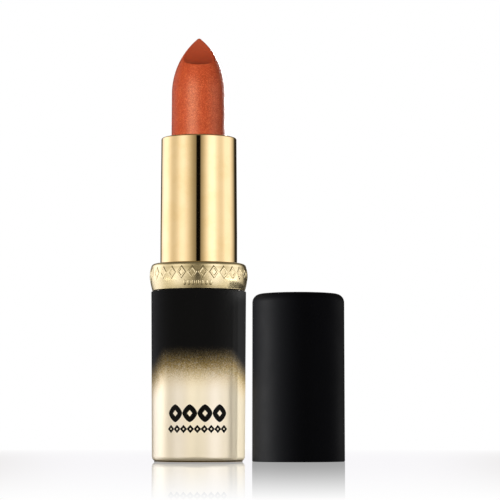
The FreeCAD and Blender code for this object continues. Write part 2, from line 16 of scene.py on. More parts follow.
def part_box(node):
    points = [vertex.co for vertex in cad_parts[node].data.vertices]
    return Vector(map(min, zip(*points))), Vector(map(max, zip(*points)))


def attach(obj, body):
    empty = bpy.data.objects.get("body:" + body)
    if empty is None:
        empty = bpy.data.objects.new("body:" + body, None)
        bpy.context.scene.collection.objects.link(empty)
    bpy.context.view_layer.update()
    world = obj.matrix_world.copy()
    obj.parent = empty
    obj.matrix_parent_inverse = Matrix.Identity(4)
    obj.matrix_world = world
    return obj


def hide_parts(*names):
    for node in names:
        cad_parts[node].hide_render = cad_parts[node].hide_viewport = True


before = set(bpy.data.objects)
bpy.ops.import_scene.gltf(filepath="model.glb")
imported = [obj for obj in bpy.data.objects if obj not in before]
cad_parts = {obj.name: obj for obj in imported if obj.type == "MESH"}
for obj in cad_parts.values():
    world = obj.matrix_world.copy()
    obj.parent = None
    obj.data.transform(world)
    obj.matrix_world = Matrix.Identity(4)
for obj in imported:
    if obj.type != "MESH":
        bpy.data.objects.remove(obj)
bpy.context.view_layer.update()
MM = 0.001
scene = bpy.context.scene
scene.view_settings.view_transform = "Standard"

# %% [markdown]
# ## Camera
# A product shot of a small upright object is taken from far away with a long lens, close to the
# height of the table, so that the walls stay nearly parallel. A slight tilt upwards, rather than a
# shifted lens, frames the case, and any other view of the same camera then stays centred.

# %% Camera
CAMERA_DISTANCE = 460 * MM
CAMERA_HEIGHT = 7.9 * MM
CAMERA_TILT = 4.66
CAMERA_LENS = 154.1
LOOK_OFFSET = 11.04 * MM

camera_data = bpy.data.cameras.new("camera")
camera_data.lens = CAMERA_LENS
camera_data.clip_start = 10 * MM
camera_data.clip_end = 20.0
camera = bpy.data.objects.new("camera", camera_data)
camera.location = (LOOK_OFFSET, -CAMERA_DISTANCE, CAMERA_HEIGHT)
camera.rotation_euler = (math.radians(90 + CAMERA_TILT), 0, 0)
scene.collection.objects.link(camera)
scene.camera = camera
print("camera", round(CAMERA_DISTANCE / MM), "mm in front of the case, lens", CAMERA_LENS, "mm")

# %% [markdown]
# ## Node helper
# Every finish below is a node tree. Adding nodes one by one in Blender's own calls takes many lines,
# so a small class adds a node, sets or links its inputs by name, and returns it. A value that is the
# same all over a surface is set on the shader's own socket, and a pattern is linked to it.

# %% Node helper
class Nodes:
    """Adds nodes to a tree. An input is a number, a colour or another node's output."""

    def __init__(self, tree):
        self.tree = tree

    def add(self, kind, inputs=None, **settings):
        node = self.tree.nodes.new(kind)
        for name, value in settings.items():
            setattr(node, name, value)
        for name, value in (inputs or {}).items():
            self.feed(node.inputs[name], value)
        return node

    def feed(self, socket, value):
        if isinstance(value, bpy.types.NodeSocket):
            self.tree.links.new(value, socket)
        else:
            socket.default_value = value

    def math(self, operation, *values, clamp=False):
        inputs = dict(enumerate(values))
        return self.add("ShaderNodeMath", inputs, operation=operation, use_clamp=clamp).outputs[0]

    def ramp(self, value, low, high, smooth=False, start=0.0, end=1.0):
        """start to end while value goes from low to high."""
        kind = "SMOOTHSTEP" if smooth else "LINEAR"
        inputs = {"Value": value, "From Min": low, "From Max": high, "To Min": start, "To Max": end}
        return self.add("ShaderNodeMapRange", inputs, interpolation_type=kind).outputs["Result"]

    def less(self, value, share):
        """The value with this share of it taken away."""
        return self.math("MULTIPLY", value, self.math("SUBTRACT", 1.0, share))

    def mix(self, factor, first, second):
        """A blend of two colours."""
        node = self.add("ShaderNodeMix", data_type="RGBA")
        for index, value in ((0, factor), (6, first), (7, second)):
            self.feed(node.inputs[index], value)
        return node.outputs[2]

    def noise(self, place, scale, detail=2.0, roughness=0.5):
        inputs = {"Vector": place, "Scale": scale, "Detail": detail, "Roughness": roughness}
        return self.add("ShaderNodeTexNoise", inputs).outputs["Fac"]

    def cells(self, place, scale):
        """Voronoi cells with a random value from 0 to 1 for each."""
        node = self.add("ShaderNodeTexVoronoi", {"Vector": place, "Scale": scale})
        return self.add("ShaderNodeSeparateColor", {"Color": node.outputs["Color"]}).outputs[0]

    def vector(self, operation, first, result="Vector", **inputs):
        """Vector Math on one vector and more inputs by name: other is the second vector."""
        given = {1 if name == "other" else name: value for name, value in inputs.items()}
        return self.add("ShaderNodeVectorMath", {0: first, **given}, operation=operation).outputs[result]

    def reach(self, place):
        """Distance from the upright axis."""
        return self.vector("LENGTH", self.vector("MULTIPLY", place, other=(1, 1, 0)), "Value")

    def axes(self, vector):
        return self.add("ShaderNodeSeparateXYZ", {"Vector": vector}).outputs

    def join(self, **axes):
        return self.add("ShaderNodeCombineXYZ", axes).outputs[0]

    def bump(self, height, distance, strength=1.0, normal=None):
        inputs = {"Height": height, "Distance": distance, "Strength": strength}
        if normal is not None:
            inputs["Normal"] = normal
        return self.add("ShaderNodeBump", inputs).outputs["Normal"]


def start_finish(name):
    """A new material: its helper, its Principled shader and its object coordinates."""
    material = bpy.data.materials.new(name)
    material.use_nodes = True
    material.node_tree.nodes.clear()
    nodes = Nodes(material.node_tree)
    shader = nodes.add("ShaderNodeBsdfPrincipled")
    nodes.add("ShaderNodeOutputMaterial", {"Surface": shader.outputs[0]})
    place = nodes.add("ShaderNodeTexCoord").outputs["Object"]
    return material, nodes, shader, place


def set_sockets(nodes, shader, **values):
    """Sets the shader's sockets: Base_Color=... is the socket Base Color."""
    for name, value in values.items():
        nodes.feed(shader.inputs[name.replace("_", " ")], value)


print("node helper ready")

# %% [markdown]
# ## Studio light
# A polished tube is a mirror that shows the whole room squeezed into a few vertical bands, so the room
# is what has to be designed. Two soft boxes stand on each side with a dim gap between them, and a
# black flag around the camera gives the thin dark line down the middle of the tube. The boxes are
# painted into the world by their bearing from the case, which costs no extra lights and gives the
# soft edges of a diffused box. A narrow box and two dark gaps behind the case outline its sides. Camera
# rays see plain white.

# %% Studio light
# Bearing of the box's centre in degrees (0 is the camera, positive is its right), half its width, the
# softness of its edge, and its strength.
SOFT_BOXES = {
    "left_front": (-49.0, 22.0, 22.0, 1.00),
    "left_back": (-118.0, 28.0, 28.0, 1.25),
    "right_front": (42.0, 20.0, 20.0, 1.30),
    "right_back": (98.0, 25.0, 19.0, 1.00),
}
ROOM_GLOW = 0.30
WARM_ROOM, COOL_BOX = (1.0, 0.93, 0.80, 1), (0.98, 1.0, 1.16, 1)
# The same four values, where the flag's strength is the share of light that it takes.
BACK_BOX, FLAG = (180.0, 10.0, 6.0, 0.9), (-0.2, 6.5, 2.0, 0.985)
FLAG_LOW, FLAG_HIGH, FLAG_FADE = -0.28, 0.24, 0.05
# Two dark gaps at the back: where each starts and is full, in degrees of bearing, and how dark.
RIGHT_GAP, LEFT_GAP, GAP_DEPTH = (129.0, 144.0), (-144.0, -154.0), 0.93
# Heights on the unit sphere: the ceiling fades in between two of them, and the table's glow below two.
TOP_FADE_FROM, TOP_FADE_TO, TOP_STRENGTH = 0.16, 0.72, 0.14
TABLE_GLOW_FROM, TABLE_GLOW_TO, TABLE_GLOW = -0.02, -0.35, 0.75

world = bpy.data.worlds.new("studio")
world.use_nodes = True
world.node_tree.nodes.clear()
room = Nodes(world.node_tree)
direction = room.add("ShaderNodeTexCoord").outputs["Generated"]
x, y, z = room.axes(direction)
bearing = room.math("DEGREES", room.math("ARCTAN2", x, room.math("MULTIPLY", y, -1.0)))


def soft_box(bearing, centre, half_width, edge, strength):
    """Light from directions within half_width of a bearing, with a soft edge."""
    away = room.math("ABSOLUTE", room.math("SUBTRACT", bearing, centre))
    return room.ramp(away, half_width + edge, half_width - edge, smooth=True, end=strength)


light = ROOM_GLOW
for centre, half_width, edge, strength in SOFT_BOXES.values():
    light = room.math("ADD", light, soft_box(bearing, centre, half_width, edge, strength))
gaps = room.math("MAXIMUM", room.ramp(bearing, *RIGHT_GAP, True), room.ramp(bearing, *LEFT_GAP, True))
light = room.less(light, room.math("MULTIPLY", gaps, GAP_DEPTH))
light = room.math("ADD", light, soft_box(room.math("ABSOLUTE", bearing), *BACK_BOX))

flag_level = room.math("MULTIPLY", room.ramp(z, FLAG_LOW - FLAG_FADE, FLAG_LOW, True),
                       room.ramp(z, FLAG_HIGH + FLAG_FADE, FLAG_HIGH, True))
light = room.less(light, room.math("MULTIPLY", soft_box(bearing, *FLAG), flag_level))
overhead = room.ramp(z, TOP_FADE_FROM, TOP_FADE_TO, smooth=True)
light = room.math("ADD", room.less(light, overhead), room.math("MULTIPLY", overhead, TOP_STRENGTH))
light = room.math("MAXIMUM", light, room.ramp(z, TABLE_GLOW_FROM, TABLE_GLOW_TO, True, end=TABLE_GLOW))

seen = room.add("ShaderNodeLightPath").outputs["Is Camera Ray"]
tint = room.mix(room.ramp(light, 0.3, 1.4), WARM_ROOM, COOL_BOX)
boxes = room.add("ShaderNodeBackground", {"Color": tint, "Strength": light})
backdrop = room.add("ShaderNodeBackground", {"Color": (1, 1, 1, 1), "Strength": 1.0})
either = room.add("ShaderNodeMixShader", {0: seen, 1: boxes.outputs[0], 2: backdrop.outputs[0]})
room.add("ShaderNodeOutputWorld", {"Surface": either.outputs[0]})
scene.world = world
print("soft boxes:", ", ".join(SOFT_BOXES))

# %% [markdown]
# The wax, the lacquers and the tube would each like another room. So a few more boxes light one piece
# each and nothing else: light linking gives each of them a collection of receivers, which are also
# the only pieces that can shade it. Without that, the mirror of the tube would show them all.

# %% Lights for single pieces
# For each light: its bearing and height in degrees as seen from its target, its distance, its size, its
# power in watts, and the height of its target on the axis.
LINKED_LIGHTS = {
    "wax_key": (-27.0, 2.0, 520 * MM, 320 * MM, 18.5, 80 * MM),
    "wax_fill": (64.0, 2.0, 520 * MM, 300 * MM, 4.0, 80 * MM),
    "wax_back": (160.0, 6.0, 520 * MM, 260 * MM, 12.0, 80 * MM),
    "cap_left": (-88.0, 0.0, 420 * MM, 200 * MM, 5.0, 20 * MM),
    "cap_right": (128.0, 0.0, 420 * MM, 100 * MM, 0.08, 20 * MM),
    "base_left": (-97.0, 0.0, 420 * MM, 160 * MM, 0.10, 20 * MM),
    "base_right": (110.0, 0.0, 420 * MM, 280 * MM, 2.20, 20 * MM),
    "base_front": (-4.0, 2.0, 460 * MM, 340 * MM, 0.55, 10 * MM),
    "collar_left": (-70.0, -22.0, 400 * MM, 260 * MM, 0.50, 39 * MM),
    "collar_right": (86.0, -22.0, 400 * MM, 260 * MM, 0.90, 39 * MM),
}
receivers = {}
for name, (bearing_of, rise, distance, size, power, target) in LINKED_LIGHTS.items():
    data = bpy.data.lights.new(name, "AREA")
    data.shape, data.size, data.energy = "SQUARE", size, power
    lamp = bpy.data.objects.new(name, data)
    b, r = math.radians(bearing_of), math.radians(rise)
    towards = Vector((math.sin(b) * math.cos(r), -math.cos(b) * math.cos(r), math.sin(r)))
    lamp.location = Vector((0, 0, target)) + towards * distance
    lamp.rotation_euler = towards.to_track_quat("Z", "Y").to_euler()
    receivers[name] = bpy.data.collections.new("lit_by_" + name)
    lamp.light_linking.receiver_collection = receivers[name]
    lamp.light_linking.blocker_collection = receivers[name]
    scene.collection.objects.link(lamp)
print("lights for single pieces:", ", ".join(LINKED_LIGHTS))

# %% [markdown]
# ## Floor
# The case stands on a glossy white table. The table mirrors it faintly, and the mirror image fades
# with the distance from the case, and for a view from above. The table is stage, not part of the object.

# %% Floor
FLOOR_HALF_SIZE = 4.0
MIRROR_AT_FOOT = 0.64
MIRROR_REACH = 236 * MM
MIRROR_CURVE = 2.1
MIRROR_FROM_ABOVE = 0.3
STEEP_FROM, STEEP_TO = 0.12, 0.6
TABLE_DROP = 0.02 * MM
POLISH = 0.75

floor_mesh = bpy.data.meshes.new("table_top")
corners = [(-1, -1), (1, -1), (1, 1), (-1, 1)]
corners = [(u * FLOOR_HALF_SIZE, v * FLOOR_HALF_SIZE, -TABLE_DROP) for u, v in corners]
floor_mesh.from_pydata(corners, [], [(0, 1, 2, 3)])
floor = bpy.data.objects.new("table_top", floor_mesh)
scene.collection.objects.link(floor)
floor_finish = bpy.data.materials.new("white_table")
floor_finish.use_nodes = True
floor_finish.node_tree.nodes.clear()
table = Nodes(floor_finish.node_tree)
place = table.add("ShaderNodeTexCoord").outputs["Object"]
share = table.math("DIVIDE", table.reach(place), MIRROR_REACH, clamp=True)
mirror = table.less(MIRROR_AT_FOOT, table.math("POWER", share, MIRROR_CURVE))
sight = table.add("ShaderNodeNewGeometry").outputs["Incoming"]
steepness = table.axes(sight)["Z"]
steep_share = table.ramp(steepness, STEEP_FROM, STEEP_TO, start=1.0, end=MIRROR_FROM_ABOVE)
mirror = table.math("MULTIPLY", mirror, steep_share)
white = table.add("ShaderNodeEmission", {"Color": (1, 1, 1, 1), "Strength": 1.0})
gloss = table.add("ShaderNodeBsdfGlossy", {"Color": (1, 1, 1, 1), "Roughness": 0.0})
matt = table.add("ShaderNodeBsdfDiffuse", {"Color": (0.8, 0.8, 0.8, 1)})
shown = table.add("ShaderNodeMixShader", {0: mirror, 1: white.outputs[0], 2: gloss.outputs[0]})
seen = table.add("ShaderNodeLightPath").outputs["Is Camera Ray"]
polish = table.add("ShaderNodeMixShader", {0: POLISH, 1: matt.outputs[0], 2: gloss.outputs[0]})
surface = table.add("ShaderNodeMixShader", {0: seen, 1: polish.outputs[0], 2: shown.outputs[0]})
table.add("ShaderNodeOutputMaterial", {"Surface": surface.outputs[0]})
floor_mesh.materials.append(floor_finish)
print("table top", 2 * FLOOR_HALF_SIZE, "m wide")

# %% [markdown]
# ## Finish: champagne fade
# The base is sprayed pearl gold, and then black from the top so that the black thins out into fine
# drops. Height decides how much black there is, the fade hangs lower at the left and right sides as
# painted shade of the darker sides, and two noises break it up: one as fine as the drops, and a coarser
# one. Flecks of pearl glint in the gold, and a dark bronze line around the foot is painted shade where
# the base meets the table.

# %% Champagne fade
FADE_TOP, FADE_FOOT = 26.8 * MM, 14.0 * MM
SIDE_SHADE_DROP = 3.0 * MM
BLACK_LACQUER = (0.0036, 0.0034, 0.0030, 1)
WARM_GOLD = (0.66, 0.45, 0.14, 1)
CHAMPAGNE = (0.95, 0.84, 0.62, 1)
FOOT_SHADE_BRONZE = (0.10, 0.065, 0.022, 1)
PEARL = (0.98, 0.90, 0.70, 1)
BASE_GLOSS, CAP_GLOSS = 0.07, 0.04
SIDE_SHADE_FROM = 0.68
FOOT_SHADE_LOW, FOOT_SHADE_HIGH = 0.26 * MM, 0.42 * MM


def champagne_fade(base_radius):
    material, nodes, shader, place = start_finish("champagne_fade")
    x, y, z = nodes.axes(place)
    # Painted shade: the black reaches lower towards the left and right sides, which look darker.
    side_shade_drop = nodes.ramp(nodes.math("ABSOLUTE", x), SIDE_SHADE_FROM * base_radius, base_radius, True, end=SIDE_SHADE_DROP)
    height = nodes.math("ADD", z, side_shade_drop)
    drops = nodes.noise(place, 5000.0, 3.0, 0.7)
    clouds = nodes.noise(place, 420.0, 3.0, 0.6)
    spread = nodes.math("ADD", nodes.math("MULTIPLY", nodes.math("SUBTRACT", drops, 0.5), 0.75),
                        nodes.math("MULTIPLY", nodes.math("SUBTRACT", clouds, 0.5), 0.14))
    bare = nodes.ramp(height, FADE_TOP, FADE_FOOT, smooth=True)
    edge = nodes.math("MULTIPLY", nodes.less(bare, bare), 4.0)
    cover = nodes.math("ADD", bare, nodes.math("MULTIPLY", spread, edge), clamp=True)
    shown = nodes.ramp(cover, 0.08, 0.95, smooth=True)
    pearl = nodes.cells(place, 5200.0)
    gold = nodes.mix(nodes.ramp(cover, 0.5, 1.0), WARM_GOLD, CHAMPAGNE)
    share = nodes.ramp(cover, 1.0, 0.6, start=0.12, end=0.6)
    gold = nodes.mix(nodes.math("MULTIPLY", nodes.math("POWER", pearl, 3.0), share), gold, PEARL)
    # Painted shade: a dark bronze band at the foot, where the base meets the table.
    foot_shade = nodes.ramp(z, FOOT_SHADE_HIGH, FOOT_SHADE_LOW)
    gold = nodes.mix(foot_shade, gold, FOOT_SHADE_BRONZE)
    colour = nodes.mix(shown, BLACK_LACQUER, gold)
    peel = nodes.bump(nodes.noise(place, 900.0, 2.0), 0.004 * MM, 0.5)
    grain = nodes.bump(drops, 0.006 * MM, 0.35, peel)
    set_sockets(nodes, shader, Base_Color=colour, Normal=grain, IOR=1.5, Specular_IOR_Level=BASE_GLOSS,
                Metallic=nodes.math("MULTIPLY", shown, 0.85),
                Roughness=nodes.ramp(cover, 0.0, 1.0, start=0.60, end=0.36))
    return material


print("fade from", FADE_TOP / MM, "down to", FADE_FOOT / MM, "mm")

# %% [markdown]
# ## Finish: polished pale gold
# Anodised aluminium is a metal with its own colour and almost no roughness. A buffed tube is never
# perfect: faint haze from handling and hair-thin lines around it break up the reflections a little.

# %% Polished gold
PALE_GOLD = (0.920, 0.685, 0.345, 1)
DEEP_GOLD = (0.880, 0.635, 0.295, 1)
SATIN_TONES = ((0.930, 0.775, 0.440, 1), (0.900, 0.735, 0.395, 1))


def polished_gold(name, roughness, haze, line_depth, blast=0.0, tones=(PALE_GOLD, DEEP_GOLD)):
    """Gold metal. haze adds patchy roughness, and blast a fine pitted texture."""
    material, nodes, shader, place = start_finish(name)
    lines = nodes.add("ShaderNodeMapping", {"Vector": place, "Scale": (60.0, 60.0, 9000.0)})
    turning = nodes.noise(lines.outputs["Vector"], 1.0, 2.0)
    patches = nodes.noise(place, 260.0, 4.0, 0.6)
    colour = nodes.mix(nodes.ramp(patches, 0.35, 0.75, smooth=True), *tones)
    normal = nodes.bump(turning, line_depth)
    if blast:
        normal = nodes.bump(nodes.noise(place, 5200.0, 2.0, 0.6), blast, 1.0, normal)
    set_sockets(nodes, shader, Base_Color=colour, Metallic=1.0, Normal=normal,
                Roughness=nodes.ramp(patches, 0.4, 0.8, True, roughness, roughness + haze))
    return material


print("gold finishes ready")

# %% [markdown]
# ## Finish: satin black
# The cap has a soft-touch lacquer: nearly black, slightly blue, rough enough to smear the soft boxes
# into wide glows, with a grain as fine as talc and a few brighter specks of dust in the lacquer.

# %% Satin black
SOFT_BLACK = (0.0034, 0.0036, 0.0044, 1)
DUSTY_BLACK = (0.009, 0.009, 0.011, 1)


def satin_black():
    material, nodes, shader, place = start_finish("satin_black")
    grain = nodes.noise(place, 6500.0, 2.0, 0.6)
    cloud = nodes.noise(place, 180.0, 3.0, 0.6)
    dust = nodes.ramp(nodes.noise(place, 2600.0, 1.0), 0.72, 0.80)
    colour = nodes.mix(nodes.math("MULTIPLY", dust, 0.6), SOFT_BLACK, DUSTY_BLACK)
    set_sockets(nodes, shader, Base_Color=colour, IOR=1.46, Specular_IOR_Level=CAP_GLOSS,
                Normal=nodes.bump(grain, 0.006 * MM, 0.6),
                Roughness=nodes.ramp(cloud, 0.3, 0.7, start=0.54, end=0.60))
    return material


print("satin black ready")

# %% [markdown]
# ## Finish: shimmering wax
# Lipstick wax is soft and slightly see-through at its surface, so it gets a little subsurface
# scattering. Its shimmer is ground mica: flat flakes that lie at random tilts. Voronoi cells stand for
# the flakes: their random colour makes some lighter, and their bump tilts each a little. The facet is
# rougher than the flank, and its deeper colour is painted shade.

# %% Shimmering wax
TERRACOTTA = (0.069, 0.0080, 0.0022, 1)
LIGHT_TERRACOTTA = (0.078, 0.0096, 0.0029, 1)
FLAKE = (0.24, 0.062, 0.022, 1)
FACET_SHADED_WAX = (0.062, 0.0080, 0.0026, 1)
WAX_DEPTH, WAX_REACH = (1.2, 0.35, 0.18), 0.6 * MM
WAX_SHEEN = (1.0, 0.80, 0.52, 1)
WAX_GLOSS, WAX_SCATTER = 0.085, 0.12
FACET_DULLNESS = 0.3


def shimmering_wax(facet_y, facet_z, facet_radius):
    """The facet is part of a cylinder that lies across the front, along this y and z."""
    material, nodes, shader, place = start_finish("shimmering_wax")
    x, y, z = nodes.axes(place)
    flake = nodes.cells(place, 10500.0)
    bright = nodes.ramp(flake, 0.62, 1.0)
    clouds = nodes.noise(place, 520.0, 3.0, 0.6)
    base = nodes.mix(nodes.ramp(clouds, 0.3, 0.7), TERRACOTTA, LIGHT_TERRACOTTA)
    colour = nodes.mix(nodes.math("MULTIPLY", bright, 0.45), base, FLAKE)
    drop, depth = nodes.math("SUBTRACT", z, facet_z), nodes.math("SUBTRACT", y, facet_y)
    reach = nodes.math("SQRT", nodes.math("ADD", nodes.math("MULTIPLY", drop, drop),
                                          nodes.math("MULTIPLY", depth, depth)))
    # Painted shade: the facet gets a deeper colour, and it is also made rougher.
    facet_shade_and_dull = nodes.ramp(reach, facet_radius + 0.05 * MM, facet_radius + 0.01 * MM)
    colour = nodes.mix(facet_shade_and_dull, colour, FACET_SHADED_WAX)
    tilt = nodes.bump(flake, 0.010 * MM, 0.35)
    skin = nodes.bump(nodes.noise(place, 1500.0, 3.0, 0.6), 0.012 * MM, 0.4, tilt)
    set_sockets(nodes, shader, Base_Color=colour, Normal=skin, IOR=1.44,
                Specular_IOR_Level=WAX_GLOSS, Specular_Tint=WAX_SHEEN,
                Subsurface_Weight=WAX_SCATTER, Subsurface_Radius=WAX_DEPTH, Subsurface_Scale=WAX_REACH,
                Roughness=nodes.math("ADD", nodes.ramp(flake, 0.0, 1.0, start=0.44, end=0.37),
                                     nodes.math("MULTIPLY", facet_shade_and_dull, FACET_DULLNESS)))
    return material


print("wax ready")

# %% [markdown]
# ## Finishes inside the case
# The mechanism hides inside, but it shows when the case is taken apart and in a view into the tube or
# the cap. Moulded plastic has a faint flow pattern and a fine skin, a turned steel slug has rings
# from the tool, a silicone ring is dull, and the label under the foot is printed film. The black ink of
# the ornament on the base is here too.

# %% Finishes inside the case
TOOL_PITCH = 0.3 * MM
RULE_PITCH = 0.6 * MM
INK_GLOSS = 0.08


def moulded_plastic(name, colour, shade, roughness):
    material, nodes, shader, place = start_finish(name)
    flow = nodes.add("ShaderNodeMapping", {"Vector": place, "Scale": (300.0, 300.0, 90.0)})
    streaks = nodes.noise(flow.outputs["Vector"], 1.0, 3.0, 0.55)
    skin = nodes.noise(place, 4200.0, 2.0)
    set_sockets(nodes, shader, Base_Color=nodes.mix(nodes.ramp(streaks, 0.35, 0.7), colour, shade),
                IOR=1.49, Normal=nodes.bump(skin, 0.004 * MM, 0.6),
                Roughness=nodes.ramp(streaks, 0.3, 0.7, start=roughness, end=roughness + 0.1))
    return material


def turned_steel():
    material, nodes, shader, place = start_finish("turned_steel")
    travel = nodes.math("ADD", nodes.reach(place), nodes.axes(place)["Z"])
    rings = nodes.math("SINE", nodes.math("MULTIPLY", travel, 2 * math.pi / TOOL_PITCH))
    stain = nodes.noise(place, 350.0, 3.0, 0.6)
    colour = nodes.mix(nodes.ramp(stain, 0.35, 0.75), (0.56, 0.56, 0.55, 1), (0.42, 0.41, 0.40, 1))
    set_sockets(nodes, shader, Base_Color=colour, Metallic=1.0,
                Normal=nodes.bump(rings, 0.004 * MM, 0.5),
                Roughness=nodes.ramp(stain, 0.3, 0.8, start=0.28, end=0.42))
    return material


def silicone():
    material, nodes, shader, place = start_finish("silicone")
    lint = nodes.noise(place, 2500.0, 3.0, 0.7)
    colour = nodes.mix(nodes.ramp(lint, 0.55, 0.8), (0.58, 0.57, 0.55, 1), (0.70, 0.69, 0.66, 1))
    set_sockets(nodes, shader, Base_Color=colour, Roughness=nodes.ramp(lint, 0.3, 0.7, start=0.5, end=0.65),
                Normal=nodes.bump(lint, 0.01 * MM, 0.4), IOR=1.41)
    return material


def printed_label(radius):
    """A gold film with a darker printed border ring and a fine line pattern."""
    material, nodes, shader, place = start_finish("printed_label")
    x, y, z = nodes.axes(place)
    reach = nodes.reach(place)
    from_ring = nodes.math("ABSOLUTE", nodes.math("SUBTRACT", reach, radius * 0.86))
    ring = nodes.ramp(from_ring, 0.22 * MM, 0.16 * MM)
    slant = nodes.math("MULTIPLY", nodes.math("ADD", x, y), 2 * math.pi / RULE_PITCH)
    middle = nodes.ramp(reach, radius * 0.7, radius * 0.68)
    rules = nodes.math("MULTIPLY", nodes.ramp(nodes.math("SINE", slant), 0.75, 0.95), middle)
    ink = nodes.math("MAXIMUM", ring, rules)
    fibre = nodes.noise(place, 2200.0, 3.0, 0.6)
    film = nodes.mix(nodes.ramp(fibre, 0.3, 0.7), (0.72, 0.58, 0.34, 1), (0.80, 0.67, 0.43, 1))
    set_sockets(nodes, shader, Base_Color=nodes.mix(ink, film, (0.02, 0.018, 0.015, 1)),
                Roughness=nodes.ramp(fibre, 0.3, 0.7, start=0.30, end=0.42), Metallic=0.3,
                Normal=nodes.bump(fibre, 0.004 * MM, 0.4))
    return material


def black_ink():
    material, nodes, shader, place = start_finish("black_ink")
    mottle = nodes.noise(place, 3800.0, 3.0, 0.65)
    colour = nodes.mix(nodes.ramp(mottle, 0.35, 0.75), (0.006, 0.005, 0.003, 1), (0.012, 0.010, 0.007, 1))
    set_sockets(nodes, shader, Base_Color=colour, Specular_IOR_Level=INK_GLOSS,
                Normal=nodes.bump(mottle, 0.004 * MM, 0.4),
                Roughness=nodes.ramp(mottle, 0.3, 0.7, start=0.34, end=0.46))
    return material


print("inside finishes ready")

# %% [markdown]
# ## Turned pieces
# The shells, the tube and the collar are all turned or drawn round, so each is one outline swept
# around the case's axis. The outline is drawn as corners with a rounding each, and a Geometry Nodes
# tree sweeps it: Curve to Mesh carries the outline around a circle. A lathe in nodes keeps the number
# of steps and the finish as inputs, so every round piece shares one tree.

# %% Outlines with rounded corners
ARC_STEPS = 8
HOLD = 0.04 * MM


def rounded_outline(corners, closed=True):
    """Points through corners (radius, height, rounding). Points just before and after each corner hold
    the shading of the straight stretches flat. Without a rounding (None), it is a point of a curve."""
    points = []
    count = len(corners)
    for i, (r, h, rounding) in enumerate(corners):
        corner = Vector((r, h))
        if rounding is None or not closed and i in (0, count - 1):
            points.append(corner)
            continue
        before = Vector(corners[i - 1][:2]) - corner
        after = Vector(corners[(i + 1) % count][:2]) - corner
        hold = min(HOLD, before.length / 4, after.length / 4)
        turn = math.pi - before.angle(after)
        cut = rounding * math.tan(turn / 2)
        a, b = before.normalized(), after.normalized()
        points.append(corner + a * (cut + hold))
        if rounding:
            middle = corner + (a + b).normalized() * (rounding / math.cos(turn / 2))
            start, end = corner + a * cut - middle, corner + b * cut - middle
            sweep = math.atan2(start.x * end.y - start.y * end.x, start.dot(end))
            for step in range(ARC_STEPS + 1):
                angle = sweep * step / ARC_STEPS
                c, s = math.cos(angle), math.sin(angle)
                points.append(middle + Vector((start.x * c - start.y * s, start.x * s + start.y * c)))
        else:
            points.append(corner)
        points.append(corner + b * (cut + hold))
    return points


print("outline helper ready")

# %% The lathe, in Geometry Nodes
WHEEL = 50 * MM
LATHE_STEPS = 240
MERGE, WELD, SLIVER = 0.0005 * MM, 0.0004 * MM, 0.0002 * MM


def new_tree(name, output, **inputs):
    """A Geometry Nodes tree with these inputs: the tree, its helper and what it is given."""
    tree = bpy.data.node_groups.new(name, "GeometryNodeTree")
    for socket, kind in inputs.items():
        tree.interface.new_socket(socket, in_out="INPUT", socket_type="NodeSocket" + kind)
    tree.interface.new_socket(output, in_out="OUTPUT", socket_type="NodeSocketGeometry")
    nodes = Nodes(tree)
    return tree, nodes, nodes.add("NodeGroupInput").outputs


def build_lathe():
    tree, nodes, given = new_tree("lathe", "Turned", Outline="Geometry", Steps="Int", Finish="Material")
    outline = nodes.add("GeometryNodeMeshToCurve", {"Mesh": given["Outline"]}).outputs["Curve"]
    wheel = nodes.add("GeometryNodeCurvePrimitiveCircle", {"Resolution": given["Steps"]}, mode="RADIUS")
    wheel.inputs["Radius"].default_value = WHEEL
    upright = nodes.add("GeometryNodeSetCurveNormal", {"Curve": wheel.outputs["Curve"]}, mode="Z_UP")
    swept = nodes.add("GeometryNodeCurveToMesh", {"Curve": upright.outputs["Curve"],
                                                  "Profile Curve": outline}).outputs["Mesh"]
    joined = nodes.add("GeometryNodeMergeByDistance", {"Geometry": swept, "Distance": MERGE})
    real = nodes.add("GeometryNodeRealizeInstances", {"Geometry": joined.outputs["Geometry"]})
    finished = nodes.add("GeometryNodeSetMaterial", {"Geometry": real.outputs["Geometry"],
                                                     "Material": given["Finish"]})
    nodes.add("NodeGroupOutput", {"Turned": finished.outputs["Geometry"]})
    return tree


def plain_mesh(piece, name, smooth_below=35.0):
    """Turns a piece and its modifiers into a plain mesh, closed, facing outwards, smooth where it
    bends by less than smooth_below degrees."""
    evaluated = piece.evaluated_get(bpy.context.evaluated_depsgraph_get())
    mesh = bpy.data.meshes.new_from_object(evaluated)
    piece.modifiers.clear()
    shape = bmesh.new()
    shape.from_mesh(mesh)
    bmesh.ops.remove_doubles(shape, verts=shape.verts, dist=WELD)
    bmesh.ops.dissolve_degenerate(shape, edges=shape.edges, dist=SLIVER)
    bmesh.ops.recalc_face_normals(shape, faces=shape.faces)
    shape.to_mesh(mesh)
    shape.free()
    mesh.name = name
    mesh.polygons.foreach_set("use_smooth", [True] * len(mesh.polygons))
    mesh.set_sharp_from_angle(angle=math.radians(smooth_below))
    piece.data = mesh
    print(f"{name}: {len(mesh.vertices)} points, {len(mesh.polygons)} faces")
    return piece


def run_tree(piece, tree, name, **inputs):
    """Runs a Geometry Nodes tree on a piece, with inputs by name, and keeps the plain mesh."""
    modifier = piece.modifiers.new("shape", "NODES")
    modifier.node_group = tree
    for item in tree.interface.items_tree:
        if item.item_type == "SOCKET" and item.in_out == "INPUT" and item.name in inputs:
            modifier[item.identifier] = inputs[item.name]
    return plain_mesh(piece, name)


def new_piece(name, points, edges=(), faces=()):
    mesh = bpy.data.meshes.new(name)
    mesh.from_pydata([tuple(p) for p in points], list(edges), list(faces))
    piece = bpy.data.objects.new(name, mesh)
    scene.collection.objects.link(piece)
    return piece


lathe = build_lathe()


